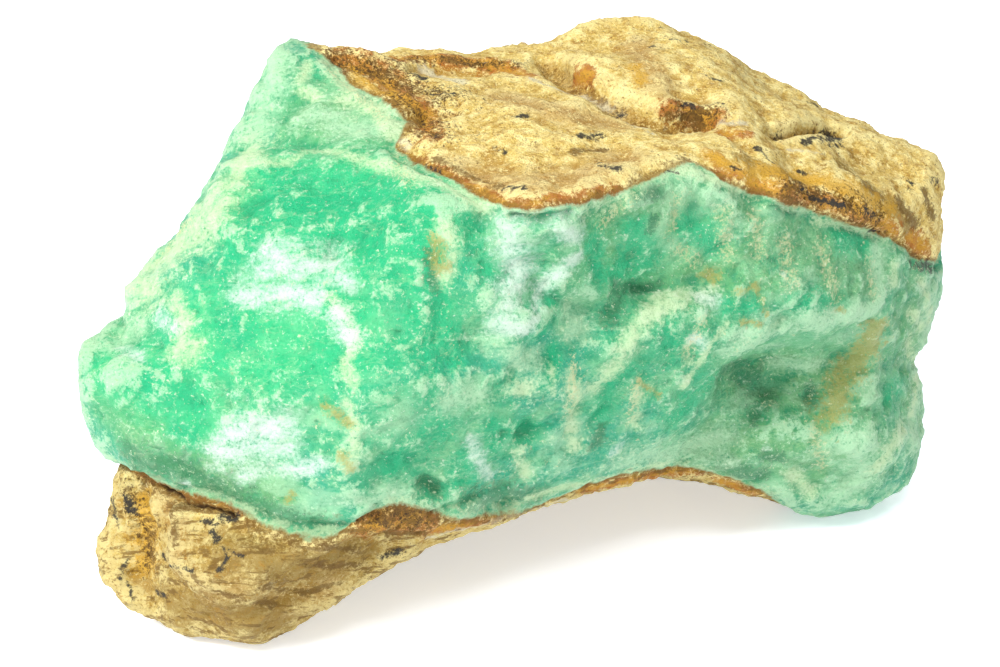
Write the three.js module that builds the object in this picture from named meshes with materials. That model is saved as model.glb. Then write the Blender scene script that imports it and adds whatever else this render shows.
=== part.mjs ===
// Raw chrysoprase: an angular, hand-sized lump of apple-green chalcedony, broken from a vein.
// The vein's two walls still carry their host rock: a rind of ochre limonite over the top, and a
// thinner crust underneath that swells into a rounded boss at the lower left corner.
// The stone is one solid, drawn by its ridges and corners. Most corners in sight are placed as
// they are seen from the front, and the others in millimetres. A skin of flat facets is stretched
// over them, its edges are worn round, and the surface is then given the undulations of both rocks,
// the step of the rind and the partings of the boss.
// +X runs along the length, +Y to the back, +Z up. The origin is under the middle, on the surface
// that the stone stands on, and it stands on three small worn flats.
import * as THREE from "three";
import { ConvexHull } from "three/addons/math/ConvexHull.js";
import { ImprovedNoise } from "three/addons/math/ImprovedNoise.js";

const LENGTH = 108; // along X, prow to right end
const DEPTH = 72; // along Y
const HEIGHT = 62; // from the feet to the left peak
const POINT_GAP = 7; // ridges are given a point at least this often
const DIVISIONS = 2; // how often each face between the corners is cut in four
const WEAR_PASSES = 3; // how far the broken edges are rounded off
const EDGE_HOLD = 0.6; // share of the wear that is given back at each corner
const HOLD_ROUNDS = 3; // how often the corners are put right
const SHARED_GAP = 0.5; // points closer than this are one corner
const SWELL = { size: 10, height: 0.9, seed: 3 }; // broad undulation of the whole stone
const DIMPLE = { size: 6, height: 0.5, seed: 7 }; // small undulation of the whole stone
const KNOBS = { size: 7, height: 0.7, seed: 11 }; // knobbly surface of the rind
const RIND = { thickness: 1.3, bevel: 2.2 }; // how far the rind stands out, and over what width
const SEAM = { depth: 1, width: 2.2 }; // open parting between the green and the boss
const CLEFT = { depth: 1.2, width: 3.5 }; // gouge down the front of the boss

// The middle of the stone, from which each point is seen in a direction of its own.
const MIDDLE = new THREE.Vector3(14, 18, 28);

// Most corners in sight are placed as they are seen from the front: how far right and how far down
// in a view 1000 wide, and how far back in millimetres.
const VIEW = { rise: 28, distance: 312, height: 30, focus: 2500, middleRight: 500, middleDown: 333.5 };

// The place of a corner seen there, to the nearest half millimetre.
function seen(right, down, back) {
  const rise = (VIEW.rise * Math.PI) / 180;
  const slope = (VIEW.middleDown - down) / VIEW.focus;
  const away = VIEW.distance + back * Math.cos(rise);
  const lift = (slope * away - back * Math.sin(rise)) / (Math.cos(rise) + slope * Math.sin(rise));
  const across = ((right - VIEW.middleRight) / VIEW.focus) * (away - lift * Math.sin(rise));
  return [across, back, VIEW.height + lift].map((size) => Math.round(size * 2) / 2);
}

// The lines along which the surface turns: rims, ledges, ridges and the stone's outlines.
const ridges = {
  backRim: [
    seen(292, 44, 17), [-22.5, 19, 60.5], seen(345, 50, 21), seen(400, 57, 23), seen(470, 55, 25),
    seen(525, 53, 25), seen(548, 66, 22), seen(556, 45, 31), seen(600, 21, 33), seen(650, 20, 33),
    seen(692, 36, 33), seen(765, 76, 32), seen(850, 119, 28), seen(905, 140, 22), seen(932, 156, 17),
    seen(940, 185, 13),
  ],
  rindLip: [
    seen(343, 62, 15), seen(372, 100, 6), seen(402, 150, -5), seen(440, 180, -12), seen(480, 201, -17),
    seen(520, 213, -19.5), seen(562, 208, -18.5), seen(600, 194, -15), seen(637, 180, -12.5),
    seen(665, 172, -10), seen(690, 167, -8.5), seen(736, 181, -7.5), seen(788, 201, -5),
    seen(850, 222, 0), seen(900, 240, 4), seen(934, 268, 11),
  ],
  slabEdge: [[-8.5, -4, 57.5], seen(455, 120, 1.5), seen(480, 94, 10.5), seen(520, 80, 15.5)],
  trough: [[6.5, 17, 56.8], seen(560, 92, 13), seen(620, 112, 7), seen(690, 135, 2), seen(760, 140, 3)],
  leftLedge: [
    seen(240, 160, 4), [-28, 2, 53.5], seen(300, 150, 0), seen(350, 150, -4), seen(400, 172, -10),
    seen(440, 202, -17),
  ],
  leftShoulder: [seen(292, 44, 17), seen(262, 80, 13), seen(243, 120, 9), seen(240, 160, 4)],
  leftOutline: [
    seen(240, 160, 4), seen(215, 190, 2), seen(190, 220, 0), seen(160, 255, -2), seen(132, 288, -5),
    seen(128, 322, -8), seen(100, 338, -10), seen(82, 356, -12), seen(77, 385, -13), seen(88, 420, -14),
    seen(108, 448, -14), seen(125, 465, -14),
  ],
  leftRidge: [
    seen(222, 176, -3), seen(207, 220, -7.5), seen(205, 283, -12.5), seen(207, 331, -17),
    seen(190, 372, -18.5),
  ],
  cornerRidge: [
    seen(440, 202, -17), seen(432, 240, -20), seen(420, 272, -21.5), seen(395, 320, -23.5),
    seen(370, 380, -26), seen(358, 440, -27), seen(345, 500, -27), seen(345, 527, -27),
  ],
  spur: [
    seen(567, 224, -17.5), seen(567, 253, -17), seen(549, 284, -18.2), seen(530, 311, -19.8),
    seen(514, 338, -20.6), seen(498, 375, -21),
  ],
  band: [
    seen(790, 290, -7), seen(752, 287, -8.6), seen(718, 294, -10.2), seen(690, 306, -11.4),
    seen(665, 319, -12.6), seen(634, 342, -14), seen(604, 364, -15.6), seen(573, 386, -17),
    seen(548, 420, -17.6),
  ],
  lowerContact: [
    seen(125, 465, -14), seen(160, 482, -19), seen(205, 500, -23), seen(255, 517, -25.5),
    seen(305, 530, -27), seen(345, 527, -27), seen(385, 505, -25.5), seen(430, 510, -23),
    seen(470, 513, -21),
  ],
  lowerEdge: [
    seen(388, 566, -22.5), seen(430, 545, -20), seen(520, 514, -15), seen(600, 488, -10),
    seen(680, 473, -5), seen(708, 476, -4.5), seen(755, 492, -3), seen(800, 506, 0.5),
    seen(834, 511, 4),
  ],
  bossOutline: [
    seen(125, 465, -14), seen(112, 500, -14), seen(100, 540, -16), seen(108, 575, -18),
    seen(127, 604, -20.5), seen(173, 625, -24), seen(235, 637, -25.5), seen(271, 635, -26),
    seen(310, 613, -25.5), seen(351, 580, -24.5), seen(388, 566, -22.5),
  ],
  hollowRim: [
    seen(650, 420, -11), seen(700, 370, -10), seen(745, 338, -9), seen(800, 320, -6),
    seen(850, 311, -3), seen(892, 303, 2.5),
  ],
  rightRim: [
    seen(892, 303, 2.5), seen(884, 335, 2.5), seen(870, 371, 1.5), seen(848, 405, -0.5),
    seen(828, 437, -3),
  ],
  rightOutline: [
    seen(934, 268, 11), seen(934, 288, 12.5), seen(932, 310, 14), seen(927, 335, 14.5),
    seen(914, 362, 14.5), seen(909, 390, 14), seen(917, 412, 12.5), seen(921, 434, 11),
    seen(915, 464, 9), seen(888, 489, 7), seen(864, 503, 5.5), seen(834, 511, 4),
  ],
  backCrest: [[12, 37.5, 54.5], [11, 41, 46], [9, 42, 34], [7, 40, 20], [6, 35, 8]],
  backTopEdge: [[-22, 27, 54], [-12, 32, 52.5], [0, 36, 51.5], [12, 37.5, 54.5], [24, 38.5, 52.5]],
};

// Corners between those lines, on the broken faces, in the hollows and on the feet.
const spots = {
  crumble: [[-13.5, 14, 58], seen(405, 103, 9), seen(440, 75, 19.5), seen(430, 125, 2.5)],
  slab: [seen(480, 160, -9), seen(560, 165, -9), seen(620, 150, -4), [0, 2, 58.4], [7, 5, 58.2]],
  hump: [
    seen(600, 60, 18), seen(660, 75, 14), seen(700, 60, 20), seen(730, 100, 11), seen(800, 138, 8),
    [40, 18, 51.5],
  ],
  browRight: [seen(800, 175, 0), seen(860, 185, 2), seen(905, 195, 6)],
  satin: [seen(303, 105, 7), seen(320, 62, 14)],
  emerald: [
    seen(250, 230, -12), seen(340, 230, -15), seen(300, 300, -19), seen(240, 380, -22),
    seen(150, 380, -18), seen(300, 440, -25), seen(200, 450, -22), [-42, -8, 40],
  ],
  boss: [
    seen(172, 510, -24), seen(172, 560, -26), seen(152, 540, -20), seen(130, 520, -18),
    seen(125, 560, -20), seen(238, 564, -29), seen(200, 590, -28), seen(300, 561, -28.5),
    seen(240, 612, -28.5), seen(290, 610, -27.5),
  ],
  bossFoot: [[-35, -20, 0.2], [-31, -21, -0.8], [-27, -20, -0.8], [-30, -15, -0.6], [-25, -17, -0.8]],
  front: [
    seen(500, 260, -18.5), seen(470, 330, -21), seen(430, 400, -24), seen(480, 430, -21),
    seen(598, 259, -14), seen(648, 215, -11.5), seen(563, 300, -15.2), seen(545, 345, -17),
    seen(702, 258, -9), seen(780, 254, -6), seen(850, 260, -1), seen(640, 382, -12.5),
    seen(600, 408, -14), seen(637, 288, -10.5), seen(610, 300, -13), seen(675, 275, -10),
    seen(500, 480, -18.5), seen(560, 466, -15.5), seen(610, 458, -12.5), seen(400, 440, -24.8),
  ],
  hollow: [
    seen(745, 348, -5.5), seen(791, 337, -3.5), seen(838, 325, -0.5), seen(720, 405, -3.2),
    seen(775, 385, -0.3), seen(828, 353, 2), seen(745, 449, -4),
  ],
  rightFoot: [seen(880, 440, 0), seen(865, 490, 1), [42, 0, 8]],
  rightEnd: [[56.5, 23, 37], [55, 26, 24], [50, 24, 10], [45, 17, 3]],
  back: [
    [47, 33, 43], [38, 39, 41], [37, 38.5, 26], [35, 34, 12], [25, 36.5, 35], [22, 35.5, 18],
    [-3, 35.5, 43], [-1, 36, 28], [-14, 35.5, 40], [-15, 34, 24], [-12, 31, 11], [-23, 28, 46],
    [-26, 26, 32], [-25, 24, 15], [46, 32, 25],
  ],
  leftBack: [[-32, 17, 40], [-40, 7, 34], [-40, 10, 22], [-46, -4, 23], [-36, 8, 9], [-42, -6, 10]],
  backFoot: [[4, 26, -1], [12, 27, -1], [8, 21, -0.5]],
  underside: [
    [-20, -13, 2], [-12, -13, 8.5], [-3, -9, 10.5], [7, -4, 11.5], [17, 2, 12], [0, 6, 10.5],
    [-16, -3, 6], [-30, -6, 3], [34, 16, 6], [-12, 14, 7], [42, 9, -0.6], [47, 12, -0.6],
  ],
};

// The closed line round the foot of the upper rind, and the one round the top of the lower crust.
// Each is seen from the middle of the stone, and runs round the point called pole.
const rindOutline = {
  pole: [15, 8, 58],
  points: [
    ...ridges.rindLip, [57, 22, 36], [48, 34, 39], [30, 39, 43], [10, 37.5, 45], [-8, 34, 50],
    [-19.5, 24, 57],
  ],
};
const crustOutline = {
  pole: [-8, 0, 5],
  points: [
    ...ridges.lowerContact, seen(520, 504, -15.5), seen(600, 480, -10.5), seen(680, 466, -5.5),
    seen(750, 489, -3), [38, 6, 7], [40, 18, 7], [36, 31, 13], [18, 35, 17], [0, 33, 18], [-15, 29, 17],
    [-26, 21, 16], [-37, 8, 18], [-43, -4, 19],
  ],
};
const seamLine = [[-43.5, -17.5, 19], [-38, -22, 19.2], [-32, -25, 18.2], [-26, -26.5, 17.2]];
const cleftLine = [[-40.5, -23, 18], [-41.5, -23, 13], [-42.5, -22, 8]];

const vector = ([x, y, z]) => new THREE.Vector3(x, y, z);

// Facets between the corner points, as triples of indices. Seen from the middle each point has its
// own direction, so the hull of those directions says which points are neighbours.
function facetsBetween(corners) {
  const half = new THREE.Vector3(LENGTH / 2, DEPTH / 2, HEIGHT / 2);
  const directions = corners.map((corner) => corner.clone().sub(MIDDLE).divide(half).normalize());
  const indexOf = new Map(directions.map((direction, index) => [direction, index]));
  return new ConvexHull().setFromPoints(directions).faces.map((face) => {
    const edges = [face.edge, face.edge.next, face.edge.next.next];
    return edges.map((edge) => indexOf.get(edge.head().point));
  });
}

// Cuts every face in four, as often as asked. Each new point remembers the two that it lies between.
function divideFaces(corners, facets) {
  const parents = [];
  let skin = facets;
  for (let round = 0; round < DIVISIONS; round++) {
    const middles = new Map();
    const middleOf = (a, b) => {
      const key = Math.min(a, b) + "," + Math.max(a, b);
      if (!middles.has(key)) {
        middles.set(key, corners.length + parents.length);
        parents.push([a, b]);
      }
      return middles.get(key);
    };
    skin = skin.flatMap(([a, b, c]) => {
      const [ab, bc, ca] = [middleOf(a, b), middleOf(b, c), middleOf(c, a)];
      return [[a, ab, ca], [ab, b, bc], [ca, bc, c], [ab, bc, ca]];
    });
  }
  return { skin, parents };
}

// The skin's points for these corners, before wear: each new point lies midway between its parents.
function layOver(corners, parents) {
  const points = corners.map((corner) => corner.clone());
  for (const [a, b] of parents) points.push(points[a].clone().lerp(points[b], 0.5));
  return points;
}

function neighboursOf(count, skin) {
  const neighbours = Array.from({ length: count }, () => new Set());
  for (const [a, b, c] of skin) {
    neighbours[a].add(b).add(c);
    neighbours[b].add(a).add(c);
    neighbours[c].add(a).add(b);
  }
  return neighbours.map((set) => [...set]);
}

// Rounds every edge: each pass moves a point halfway to the mean of its neighbours.
function wear(points, neighbours, passes) {
  let worn = points;
  for (let pass = 0; pass < passes; pass++)
    worn = worn.map((point, index) => {
      const mean = new THREE.Vector3();
      for (const other of neighbours[index]) mean.add(worn[other]);
      return mean.divideScalar(neighbours[index].length).lerp(point, 0.5);
    });
  return worn;
}

function normalsOf(points, skin) {
  const normals = points.map(() => new THREE.Vector3());
  for (const [a, b, c] of skin) {
    const side = points[b].clone().sub(points[a]);
    const area = side.cross(points[c].clone().sub(points[a]));
    for (const corner of [a, b, c]) normals[corner].add(area);
  }
  return normals.map((normal) => normal.normalize());
}

// A measure of how far inside a closed outline a point lies, in millimetres along the surface and
// negative outside. Both are seen from the middle, by their turn about the pole and their angle from it.
function insideOutline({ pole, points }) {
  const axis = vector(pole).sub(MIDDLE).normalize();
  const east = new THREE.Vector3(0, 1, 0).cross(axis).normalize();
  const north = axis.clone().cross(east);
  const bearingOf = (point) => {
    const ray = point.clone().sub(MIDDLE);
    const reach = ray.length();
    return { turn: Math.atan2(ray.dot(north), ray.dot(east)), lean: Math.acos(ray.dot(axis) / reach), reach };
  };
  const line = points.map((point) => bearingOf(vector(point))).sort((a, b) => a.turn - b.turn);
  const first = line[0];
  const last = line.at(-1);
  const ring = [
    { ...last, turn: last.turn - 2 * Math.PI },
    ...line,
    { ...first, turn: first.turn + 2 * Math.PI },
  ];
  return (point) => {
    const { turn, lean, reach } = bearingOf(point);
    const next = ring.findIndex((corner) => corner.turn > turn);
    const [from, to] = [ring[next - 1], ring[next]];
    const share = (turn - from.turn) / (to.turn - from.turn);
    return (THREE.MathUtils.lerp(from.lean, to.lean, share) - lean) * reach;
  };
}

function distanceToLine(point, line) {
  const nearest = new THREE.Vector3();
  const gaps = line.slice(1).map((end, index) => {
    new THREE.Line3(vector(line[index]), vector(end)).closestPointToPoint(point, true, nearest);
    return nearest.distanceTo(point);
  });
  return Math.min(...gaps);
}

// A height of smooth noise, whose bumps are size millimetres apart.
const roughness = new ImprovedNoise();
const bumpAt = (point, { size, height, seed }) =>
  height * roughness.noise(point.x / size + seed, point.y / size + seed, point.z / size + seed);

// A groove of this depth along a line, as a height below the surface.
const grooveAt = (point, line, { depth, width }) =>
  -depth * Math.exp(-2.5 * (distanceToLine(point, line) / width) ** 2);

const insideRind = insideOutline(rindOutline);
const insideCrust = insideOutline(crustOutline);

// How far the finished surface stands out of the worn one at a point.
function reliefAt(point) {
  const inside = Math.max(insideRind(point), insideCrust(point));
  const rind = THREE.MathUtils.smoothstep(inside, -RIND.bevel / 2, RIND.bevel / 2);
  return (
    bumpAt(point, SWELL) +
    bumpAt(point, DIMPLE) +
    rind * (RIND.thickness + bumpAt(point, KNOBS)) +
    grooveAt(point, seamLine, SEAM) +
    grooveAt(point, cleftLine, CLEFT)
  );
}

// A ridge's points, with more between them where they lie far apart.
function pointsAlong(ridge) {
  return ridge.flatMap((point, index) => {
    const start = vector(point);
    const end = vector(ridge[index + 1] ?? point);
    const steps = Math.max(1, Math.ceil(start.distanceTo(end) / POINT_GAP));
    return Array.from({ length: steps }, (_, step) => start.clone().lerp(end, step / steps));
  });
}

// Every corner of the stone once: ridges share the points where they meet.
function allCorners() {
  const onRidges = Object.values(ridges).flatMap(pointsAlong);
  const between = Object.values(spots).flat().map(vector);
  const corners = [...onRidges, ...between];
  const same = (corner) => (other) => other.distanceTo(corner) < SHARED_GAP;
  return corners.filter((corner, index) => corners.findIndex(same(corner)) === index);
}

// The stone's surface. The skin over the corners is worn and given its relief, and the corners are then
// moved until the finished surface passes through the places where they were drawn.
function stretchSkin() {
  const corners = allCorners();
  const { skin, parents } = divideFaces(corners, facetsBetween(corners));
  const neighbours = neighboursOf(corners.length + parents.length, skin);
  const held = corners.map((corner) => corner.clone());
  let surface = [];
  for (let round = 0; round < HOLD_ROUNDS; round++) {
    const worn = wear(layOver(held, parents), neighbours, WEAR_PASSES);
    const normals = normalsOf(worn, skin);
    surface = worn.map((point, index) => point.clone().addScaledVector(normals[index], reliefAt(point)));
    corners.forEach((drawn, index) => {
      const lost = drawn.clone().sub(surface[index]);
      held[index].addScaledVector(lost, EDGE_HOLD);
    });
  }
  return { surface, skin };
}

// The stone is worn flat where it would reach below the floor, and is then fitted to its size.
function makeStone() {
  const { surface, skin } = stretchSkin();
  for (const point of surface) point.z = Math.max(point.z, 0);
  const positions = new THREE.Float32BufferAttribute(surface.flatMap((point) => point.toArray()), 3);
  const geometry = new THREE.BufferGeometry().setAttribute("position", positions).setIndex(skin.flat());
  const box = new THREE.Box3().setFromPoints(surface);
  const size = box.getSize(new THREE.Vector3());
  const middle = box.getCenter(new THREE.Vector3());
  geometry.translate(-middle.x, -middle.y, 0);
  geometry.scale(LENGTH / size.x, DEPTH / size.y, HEIGHT / size.z);
  geometry.computeVertexNormals();
  return geometry;
}

const chalcedony = new THREE.MeshStandardMaterial({ color: 0x5fd39b, roughness: 0.42, metalness: 0 });
const stone = new THREE.Mesh(makeStone(), chalcedony);
stone.name = "chrysoprase";

const group = new THREE.Group();
group.add(stone);

export default group;
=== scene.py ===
# Raw chrysoprase on a white table: the finished look, made from the stone's plain solid.
# Places on the stone are in millimetres in the frame's axes: X along the stone, Y to the back, Z up.
import math

import bmesh
import bpy
import numpy as np
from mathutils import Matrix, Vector
from mathutils.bvhtree import BVHTree


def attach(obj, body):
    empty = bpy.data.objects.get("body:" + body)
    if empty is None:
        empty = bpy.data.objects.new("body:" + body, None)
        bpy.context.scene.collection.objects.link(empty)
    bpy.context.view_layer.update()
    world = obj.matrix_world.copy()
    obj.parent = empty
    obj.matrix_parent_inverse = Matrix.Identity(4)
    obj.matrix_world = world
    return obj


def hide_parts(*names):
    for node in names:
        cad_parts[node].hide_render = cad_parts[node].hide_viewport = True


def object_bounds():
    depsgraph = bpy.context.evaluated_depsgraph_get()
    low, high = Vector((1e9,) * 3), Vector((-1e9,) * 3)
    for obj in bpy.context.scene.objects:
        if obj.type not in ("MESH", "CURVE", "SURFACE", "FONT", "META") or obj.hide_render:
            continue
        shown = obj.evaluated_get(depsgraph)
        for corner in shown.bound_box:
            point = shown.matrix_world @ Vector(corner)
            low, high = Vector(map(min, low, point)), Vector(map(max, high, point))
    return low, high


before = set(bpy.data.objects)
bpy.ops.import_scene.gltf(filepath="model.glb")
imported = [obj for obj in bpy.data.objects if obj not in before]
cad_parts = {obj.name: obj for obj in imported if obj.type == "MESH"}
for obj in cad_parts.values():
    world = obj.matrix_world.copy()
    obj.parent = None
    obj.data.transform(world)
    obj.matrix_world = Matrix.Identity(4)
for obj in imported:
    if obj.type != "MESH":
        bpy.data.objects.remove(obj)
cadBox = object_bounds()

metre = 1000  # mm


def linear(hexColour):
    channels = [int(hexColour[i : i + 2], 16) / 255 for i in (1, 3, 5)]
    return (*[c / 12.92 if c <= 0.04045 else ((c + 0.055) / 1.055) ** 2.4 for c in channels], 1)


# Adds a node, sets its properties, and fills its inputs with values or with links from other sockets.
def addNode(tree, kind, inputs=None, **settings):
    node = tree.nodes.new(kind)
    for name, value in settings.items():
        setattr(node, name, value)
    for name, value in (inputs or {}).items():
        if isinstance(value, bpy.types.NodeSocket):
            tree.links.new(value, node.inputs[name])
        else:
            node.inputs[name].default_value = value
    return node


# Turns an object with its live modifiers into a plain mesh.
def makePlain(piece):
    graph = bpy.context.evaluated_depsgraph_get()
    mesh = bpy.data.meshes.new_from_object(piece.evaluated_get(graph))
    piece.modifiers.clear()
    piece.data = mesh


# The viewpoint, which the camera and the marks share.
viewpoint = {
    "target": (-3.6, -6.0, 30.0),  # mm, what the middle of the picture looks at
    "distance": 312,  # mm
    "elevation": 28,  # degrees above the table
    "behind": 180,  # degrees round the stone, from where the marks on its back are seen
    "lens": 90,  # mm
    "sensor": 36,  # mm
    "clip": (0.01, 20),  # m
}


# The eye and its axes, from the front or with the eye walked round the stone by some degrees.
def viewAxes(walk=0):
    rise = math.radians(viewpoint["elevation"])
    turn = math.radians(walk)
    target = np.array(viewpoint["target"])
    across = np.array([math.cos(turn), math.sin(turn), 0])
    outward = np.array([math.sin(turn), -math.cos(turn), 0])
    upright = np.array([0, 0, 1])
    eye = target + viewpoint["distance"] * (math.cos(rise) * outward + math.sin(rise) * upright)
    up = math.cos(rise) * upright - math.sin(rise) * outward
    return eye, target, across, up


skin = {
    "smoothing": 1,  # subdivision levels, which take the facets off
    "spacing": 0.56,  # mm between the skin's points
    "crispness": 0.7,  # how much of their height the broad ridges and hollows gain again
    "breadth": 60,  # rounds of evening out, which set how broad those are
    "crestAndHollowBreadth": 24,  # the same for the ridges and hollows whose colour changes: crests paler, partly wear and partly painted highlight, hollows darker as painted shade
    "weld": 1e-6,  # m, loose corners nearer than this are joined
}


# A mesh's points and its normals, in mm.
def pointsOf(mesh):
    spots = np.empty(len(mesh.vertices) * 3)
    mesh.vertices.foreach_get("co", spots)
    normals = np.empty(len(mesh.vertices) * 3)
    mesh.vertex_normals.foreach_get("vector", normals)
    return spots.reshape(-1, 3) * metre, normals.reshape(-1, 3)


# How far each point stands above the evened-out skin, in mm: ridges over 0, hollows under it.
def heightOverEven(mesh, rounds):
    spots, normals = pointsOf(mesh)
    pairs = np.empty(len(mesh.edges) * 2, int)
    mesh.edges.foreach_get("vertices", pairs)
    start, end = pairs.reshape(-1, 2).T
    count = len(spots)
    neighbours = np.bincount(start, minlength=count) + np.bincount(end, minlength=count)
    even = spots.copy()
    for _ in range(rounds):
        for axis in range(3):
            line = even[:, axis]
            total = np.bincount(start, line[end], count) + np.bincount(end, line[start], count)
            even[:, axis] = (line + total / neighbours) / 2
    return ((spots - even) * normals).sum(axis=1)


def makeSkin(node):
    stone = bpy.data.objects.new("stone", node.data.copy())
    bpy.context.scene.collection.objects.link(stone)
    stone.data.materials.clear()
    loose = bmesh.new()
    loose.from_mesh(stone.data)
    bmesh.ops.remove_doubles(loose, verts=loose.verts, dist=skin["weld"])
    loose.to_mesh(stone.data)
    loose.free()
    smooth = stone.modifiers.new("smooth", "SUBSURF")
    smooth.levels = smooth.render_levels = skin["smoothing"]
    even = stone.modifiers.new("even", "REMESH")
    even.mode = "VOXEL"
    even.voxel_size = skin["spacing"] / metre
    makePlain(stone)
    spots, normals = pointsOf(stone.data)
    gain = skin["crispness"] * heightOverEven(stone.data, skin["breadth"])
    crisp = (spots + gain[:, None] * normals) / metre
    stone.data.vertices.foreach_set("co", crisp.ravel())
    stone.data.update()
    return stone


# Where each rock ends. The front of each line is in millimetres right of and above the middle of the view,
# and is laid on the stone from the viewpoint. The rest is in the frame's axes.
middle = np.array([10.4, 12.0, 28.0])  # mm, each outline is seen from here
outlines = {
    "rind": {  # the foot of the upper rind, along its front lip and round the back
        "pole": [11.4, 2, 58],
        "front": [
            [-20, 32.3], [-18, 30.6], [-16, 29.8], [-14.5, 28.6], [-13, 27.4], [-11.5, 26.2], [-12.5, 24.6],
            [-13.2, 23.1], [-11, 21.5], [-8.5, 20.1], [-6, 19.3], [-4, 17.9], [-2, 16.9], [-1, 16.3],
            [1, 15.6], [4, 15.2], [6, 15.8], [8, 16.1], [10, 16], [12, 16.8], [14.5, 17.4], [17, 18.5],
            [19, 19.3], [21, 20.4], [23.5, 21.4], [26, 20.3], [28, 18.9], [30.5, 17.8], [33, 17.2],
            [36, 16.2], [38, 15.7], [41, 14.4], [43, 14], [46, 13.2], [48.5, 11.8], [50.5, 10.5],
            [52, 9.2], [54, 8.5],
        ],
        "back": [
            [53.4, 14, 36.2], [52, 19, 37], [48.5, 24, 36.4], [45, 27.5, 37.4], [42, 29.5, 39.2],
            [37, 31, 39.6], [33, 32.5, 38.6], [28, 33, 39.4], [24.5, 33, 41.4], [20, 33, 42],
            [14, 32.5, 41.2], [9.5, 32, 42.2], [6, 31.5, 44], [0, 30, 44.8], [-5, 29.5, 44.6],
            [-8.5, 28.5, 46.6], [-12, 27, 48], [-16, 24.5, 48.6], [-19, 22, 51.6], [-23, 18, 57],
        ],
    },
    "crust": {  # the top of the lower crust, along the boss, under the front and round the back
        "pole": [-11.6, -6, 5],
        "front": [
            [-46.5, -16.3], [-45.3, -17], [-43, -18.2], [-41.5, -19], [-40, -19.4], [-37, -20.3],
            [-34, -21.2], [-32, -22.3], [-30, -23.4], [-28, -24.3], [-26, -25], [-24, -25.4],
            [-21.5, -25.3], [-20, -25], [-19, -24], [-18, -22.8], [-16, -21.7], [-14, -21.3],
            [-11, -21.2], [-9, -21.9], [-6, -23], [-2, -22.8], [1, -22.4], [3, -22], [5, -21.3],
            [7, -20.6], [10, -19], [12, -18.5], [15, -17.6], [17, -17.3], [20, -16.9], [22, -16.5],
            [24, -16.7], [26.5, -17.4], [29, -18], [31, -18.8], [33, -19.8],
        ],
        "back": [
            [32, 0, 4], [33.5, 9, 4.4], [31, 18, 8.6], [27, 24.5, 10.4], [23, 27, 12.8], [17, 28.8, 13.4],
            [12.5, 29, 15.4], [8, 28.5, 17.2], [2, 28, 17.4], [-3, 27.2, 16.2], [-8, 26, 17.4],
            [-14, 24.2, 18.2], [-19, 22.8, 16.6], [-24, 19, 15.6], [-28, 16, 16.6], [-33, 11.5, 17.6],
            [-37, 7, 16.8], [-41, 1, 17], [-44, -5, 18.8], [-46.6, -10, 18],
        ],
    },
}


# The places, in mm, where points of the view fall on the stone. Those beside the stone are left out.
def placesOn(tree, points, walk=0):
    eye, target, across, up = viewAxes(walk)
    places = []
    for right, above in points:
        ray = target + right * across + above * up - eye
        hit = tree.ray_cast(Vector(eye / metre), Vector(ray).normalized())[0]
        if hit:
            places.append([size * metre for size in hit])
    return places


# Millimetres inside a closed outline, and negative outside it.
def insideOutline(spots, tree, outline):
    axis = np.array(outline["pole"]) - middle
    axis = axis / np.linalg.norm(axis)
    east = np.cross([0, 1, 0], axis)
    east = east / np.linalg.norm(east)
    north = np.cross(axis, east)

    def seen(places):
        rays = places - middle
        reach = np.linalg.norm(rays, axis=1)
        return np.arctan2(rays @ north, rays @ east), np.arccos(rays @ axis / reach), reach

    turn, lean, reach = seen(spots)
    line = np.array(placesOn(tree, outline["front"]) + outline["back"], float)
    lineTurn, lineLean, _ = seen(line)
    return (np.interp(turn, lineTurn, lineLean, period=2 * math.pi) - lean) * reach


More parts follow.
